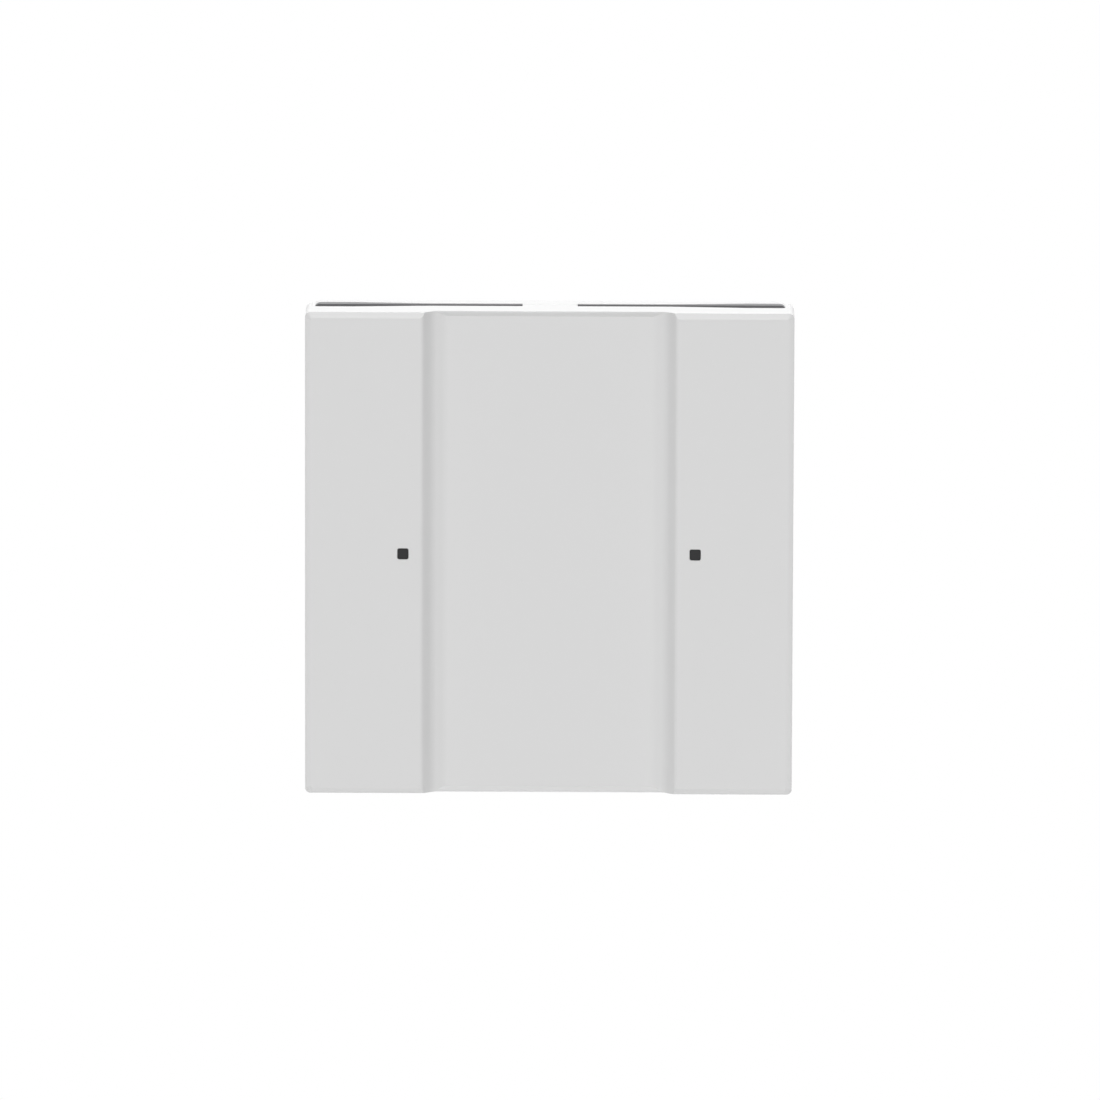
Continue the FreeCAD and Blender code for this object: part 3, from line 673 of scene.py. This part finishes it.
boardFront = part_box("circuit_board")[0][1]
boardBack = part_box("circuit_board")[1][1]
pitch = plugLook["pitch"] * mm
solder = rowsOf(
    standIn("solder", solderMesh(solderLook)), plugLook["columns"], plugLook["rows"],
    pitch, pitch, finishes["screw_steel"]).mesh("solder")
addPiece(
    "solder_joints", placed(solder, y=boardFront, z=middleOf("connector_body").z),
    "screw_steel", "base")
print("plug and solder joints made")


# Legs of the two chips

legLook = {
    "width": 0.24, "metal": 0.13, "foot": 0.5, "reach": 1.0, "root": 0.1,
    "outerBend": 0.55, "innerBend": 0.45, "rise": 0.55,  # shares of the knee and of the chip
}
chipLegs = {  # on each of four sides
    "controller_chip": {"count": 11, "pitch": 0.55},
    "transceiver_chip": {"count": 5, "pitch": 0.8},
}


def legMesh(look, rise):
    metal, root, reach = look["metal"], look["root"], look["reach"]
    knee = reach - look["foot"]
    outline = [
        (rise, -root), (rise, knee * look["outerBend"]), (metal, knee + metal),
        (metal, reach), (0, reach), (0, knee),
        (rise - metal, knee * look["innerBend"]), (rise - metal, -root)]
    points = [(y * mm, z * mm) for y, z in outline]
    half = look["width"] / 2 * mm
    return meshOf(prism(points, -half, half, 0), "leg", False)


def legsAround(thing, count, step, out, material):
    tree = Shape("legs", {"Leg": thing, "Count": count, "Step": step, "Out": out})
    start = tree.node("ShaderNodeCombineXYZ", {}, {
        0: (tree.size("Count") - 1) * tree.size("Step") * -0.5, 2: tree.size("Out")})
    offset = tree.node("ShaderNodeCombineXYZ", {}, {0: tree.size("Step")})
    line = tree.node("GeometryNodeMeshLine", {}, {
        "Count": tree.size("Count"), "Start Location": start, "Offset": offset})
    row = tree.node(
        "GeometryNodeInstanceOnPoints", {}, {"Points": line, "Instance": tree.seen("Leg")})
    sides = [
        tree.node("GeometryNodeTransform", {}, {
            "Geometry": row, "Rotation": (0, quarter * pi / 2, 0)})
        for quarter in range(4)]
    tree.close(tree.node("GeometryNodeJoinGeometry", {}, {0: sides}), material)
    return tree


for name, legs in chipLegs.items():
    low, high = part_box(name)
    rise = (high[1] - low[1]) / mm * legLook["rise"]
    leg = standIn("leg", legMesh(legLook, rise))
    tree = legsAround(
        leg, legs["count"], legs["pitch"] * mm, (high[0] - low[0]) / 2, finishes["screw_steel"])
    middle = middleOf(name)
    addPiece(
        name + "_legs", placed(tree.mesh("legs"), middle.x, low[1], middle.z),
        "screw_steel", "base")


# Small resistors in three groups

resistorLook = {
    "length": 1.6, "width": 0.8, "height": 0.45, "end": 0.28, "proud": 0.03, "cut": 0.05,
}
resistorGroups = {
    "right": {"x": 15.6, "z": -7.0, "columns": 2, "rows": 5, "stepX": 3.2, "stepZ": 2.0},
    "left": {"x": -15.6, "z": -7.0, "columns": 2, "rows": 4, "stepX": 3.2, "stepZ": 2.4},
    "top": {"x": 0.0, "z": 15.5, "columns": 4, "rows": 1, "stepX": 2.9, "stepZ": 1.0},
}


def chipBlock(lengths, cut, shift=0.0):  # a block with two edges cut, on the board
    x, y, z = (length / 2 * mm for length in lengths)
    cut = cut * mm
    left = -x + shift * mm
    right = x + shift * mm
    outline = [
        (left, 0), (right, 0), (right, 2 * y - cut),
        (right - cut, 2 * y), (left + cut, 2 * y), (left, 2 * y - cut)]
    return prism(outline, -z, z, 2)


def joinedMesh(works, name):
    whole = bmesh.new()
    for work in works:
        part = meshOf(work, name, False)
        whole.from_mesh(part)
        bpy.data.meshes.remove(part)
    return meshOf(whole, name, False)


def resistorMeshes(look):
    end, proud, cut = look["end"], look["proud"], look["cut"]
    inner = look["length"] - 2 * end
    shift = (look["length"] - end) / 2
    middle = chipBlock((inner, look["height"], look["width"]), cut)
    taller = (end, look["height"] + proud, look["width"] + proud)
    caps = [chipBlock(taller, cut, shift), chipBlock(taller, cut, -shift)]
    body = joinedMesh([middle], "resistorBody")
    ends = joinedMesh(caps, "resistorEnds")
    return {"bodies": (body, "black_plastic"), "ends": (ends, "screw_steel")}


for name, group in resistorGroups.items():
    for label, (mesh, slot) in resistorMeshes(resistorLook).items():
        tree = rowsOf(
            standIn("resistor", mesh), group["columns"], group["rows"],
            group["stepX"] * mm, group["stepZ"] * mm, finishes[slot])
        made = placed(tree.mesh("resistors"), group["x"] * mm, boardBack, group["z"] * mm)
        addPiece("resistor_" + label + "_" + name, made, slot, "base")


# Capacitors with the groove near their foot

canLook = {
    "count": 3, "steps": 40, "foot": 0.12, "rim": 0.25, "rimBulge": 0.3, "lid": 0.5,
    "lidDrop": 0.05, "grooveAt": 0.28, "groove": 0.12, "grooveFloor": 0.12, "grooveMouth": 0.3,
}


def canMesh(look, radius, height):
    groove, foot, rim, lid = look["grooveAt"] * height, look["foot"], look["rim"], look["lid"]
    floor, mouth, drop = look["grooveFloor"], look["grooveMouth"], look["lidDrop"]
    narrow = radius - look["groove"]
    bulge = rim * look["rimBulge"]
    profile = [
        (0, 0), (radius - foot, 0), (radius, foot), (radius, groove - mouth),
        (narrow, groove - floor), (narrow, groove + floor), (radius, groove + mouth),
        (radius, height - rim), (radius - bulge, height - bulge), (radius - rim, height),
        (radius - lid, height), (radius - lid - drop, height - drop), (0, height - drop)]
    return meshOf(turned([(r * mm, y * mm) for r, y in profile], look["steps"])[0], "can")


low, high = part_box("capacitors")
radius = (high[2] - low[2]) / 2
step = (high[0] - low[0] - 2 * radius) / (canLook["count"] - 1)
can = standIn("can", canMesh(canLook, radius / mm, (high[1] - low[1]) / mm))
cans = rowsOf(can, canLook["count"], 1, step, step, finishes["capacitor_can"]).mesh("cans")
addPiece(
    "capacitors_grooved", placed(cans, 0, low[1], middleOf("capacitors").z),
    "capacitor_can", "base", "capacitors")


# Domed lenses on the lamps

lensLook = {"radius": 0.5, "height": 0.18, "sunk": 0.05, "bands": 6, "steps": 24}


def lensMesh(look):
    radius, height, sunk = look["radius"] * mm, look["height"] * mm, look["sunk"] * mm
    profile = [(0, sunk), (radius, sunk)]
    for band in range(look["bands"]):
        turn = band * pi / (2 * look["bands"])
        profile.append((radius * cos(turn), -height * sin(turn)))
    profile.append((0, -height))
    return meshOf(turned(profile, look["steps"])[0], "lens")


for side in ("left", "right"):
    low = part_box("led_" + side)[0]
    middle = middleOf("led_" + side)
    lens = placed(lensMesh(lensLook), middle.x, low[1], middle.z)
    addPiece("led_lens_" + side, lens, "led_lens", "base")
print("board pieces placed")


# Camera, floor and light

cameraView = {  # metres, degrees, pixels; target and sensor in millimetres
    "distance": 1.731, "yaw": 0.392, "pitch": 9.944, "roll": 0.170,
    "focalPixels": 13380.5, "framePixels": 1100, "target": (0.096, -6.0, -0.179),
    "sensor": 36.0, "nearest": 0.05, "farthest": 50.0,
}


def makeCamera(view):
    yaw = radians(view["yaw"])
    pitch = radians(view["pitch"])
    roll = radians(view["roll"])
    back = Vector((sin(yaw) * cos(pitch), -cos(yaw) * cos(pitch), sin(pitch)))
    right = (-back).cross(Vector((0, 0, 1))).normalized()
    up = right.cross(-back)
    across = right * cos(roll) + up * sin(roll)
    upward = up * cos(roll) - right * sin(roll)
    data = bpy.data.cameras.new("photoCamera")
    data.sensor_width = view["sensor"]
    data.lens = view["focalPixels"] / view["framePixels"] * data.sensor_width
    data.clip_start = view["nearest"]
    data.clip_end = view["farthest"]
    camera = bpy.data.objects.new("photoCamera", data)
    matrix = Matrix((across, upward, back)).transposed().to_4x4()
    matrix.translation = Vector(view["target"]) * mm + back * view["distance"]
    camera.matrix_world = matrix
    bpy.context.scene.collection.objects.link(camera)
    bpy.context.scene.camera = camera


makeCamera(cameraView)

floorLook = {  # metres; what the camera sees turns white between near and far
    "height": -0.25, "half": 6.0, "seen": 0.62, "bounce": 0.59, "near": 0.3, "far": 0.7,
}


def makeFloor(look):
    half = look["half"]
    mesh = bpy.data.meshes.new("floor")
    ring = ((-half, -half), (half, -half), (half, half), (-half, half))
    mesh.from_pydata([(x, y, look["height"]) for x, y in ring], [], [(0, 1, 2, 3)])
    floor = bpy.data.objects.new("floor", mesh)
    bpy.context.scene.collection.objects.link(floor)
    made = Finish("floorPaint")
    camera = made.node("ShaderNodeLightPath", output="Is Camera Ray")
    glossy = made.node("ShaderNodeLightPath", output="Is Glossy Ray")
    through = made.node("ShaderNodeLightPath", output="Is Transmission Ray")
    where = made.node("ShaderNodeTexCoord", output="Object")
    flat = made.node(
        "ShaderNodeVectorMath", {"operation": "MULTIPLY"}, {0: where, 1: (1, 1, 0)})
    radius = made.node("ShaderNodeVectorMath", {"operation": "LENGTH"}, {0: flat}, "Value")
    away = made.node(
        "ShaderNodeMapRange", {"interpolation_type": "SMOOTHSTEP"},
        {"Value": radius, "From Min": look["near"], "From Max": look["far"]})
    white = made.node("ShaderNodeEmission", {}, {"Strength": 1.0})
    seen = made.node("ShaderNodeBsdfDiffuse", {}, {"Color": grey(look["seen"])})
    bounce = made.node("ShaderNodeBsdfDiffuse", {}, {"Color": grey(look["bounce"])})
    paint = made.node("ShaderNodeMixShader", {}, {0: camera, 1: bounce, 2: seen})
    share = glossy + through + camera * away
    mixed = made.node("ShaderNodeMixShader", {}, {0: share, 1: paint, 2: white})
    made.node("ShaderNodeOutputMaterial", {}, {"Surface": mixed})
    mesh.materials.append(made.material)


makeFloor(floorLook)

lightPlan = {  # strength 1 shows a white that faces the light as white; degrees
    "world": 0.03,
    "suns": {
        "overhead": {"strength": 0.965, "elevation": 115, "azimuth": -4, "angle": 30},
        "front": {"strength": 0.62, "elevation": 25, "azimuth": -3, "angle": 40},
        "upper": {"strength": 0.112, "elevation": 70, "azimuth": -4, "angle": 40},
        "rearRight": {"strength": 0.32, "elevation": 2, "azimuth": 125, "angle": 35},
        "rearLeft": {"strength": 0.32, "elevation": 2, "azimuth": -125, "angle": 35},
    },
}


def makeLight(plan):
    world = bpy.data.worlds.new("room")
    bpy.context.scene.world = world
    world.use_nodes = True
    sheet = Sheet(world.node_tree)
    sheet.tree.nodes.clear()
    surround = sheet.node(
        "ShaderNodeBackground", {}, {"Color": grey(1.0), "Strength": plan["world"]})
    backdrop = sheet.node("ShaderNodeBackground", {}, {"Color": grey(1.0), "Strength": 1.0})
    camera = sheet.node("ShaderNodeLightPath", output="Is Camera Ray")
    glossy = sheet.node("ShaderNodeLightPath", output="Is Glossy Ray")
    through = sheet.node("ShaderNodeLightPath", output="Is Transmission Ray")
    mixed = sheet.node(
        "ShaderNodeMixShader", {}, {0: camera + glossy + through, 1: surround, 2: backdrop})
    sheet.node("ShaderNodeOutputWorld", {}, {"Surface": mixed})
    for name, lamp in plan["suns"].items():
        data = bpy.data.lights.new(name, "SUN")
        data.energy = lamp["strength"] * pi
        data.angle = radians(lamp["angle"])
        sun = bpy.data.objects.new(name, data)
        lift = radians(lamp["elevation"])
        turn = radians(lamp["azimuth"])
        towards = Vector((sin(turn) * cos(lift), -cos(turn) * cos(lift), sin(lift)))
        sun.matrix_world = towards.to_track_quat("Z", "Y").to_matrix().to_4x4()
        bpy.context.scene.collection.objects.link(sun)


makeLight(lightPlan)
bpy.context.scene.view_settings.view_transform = "Standard"
print("camera, floor and light made")
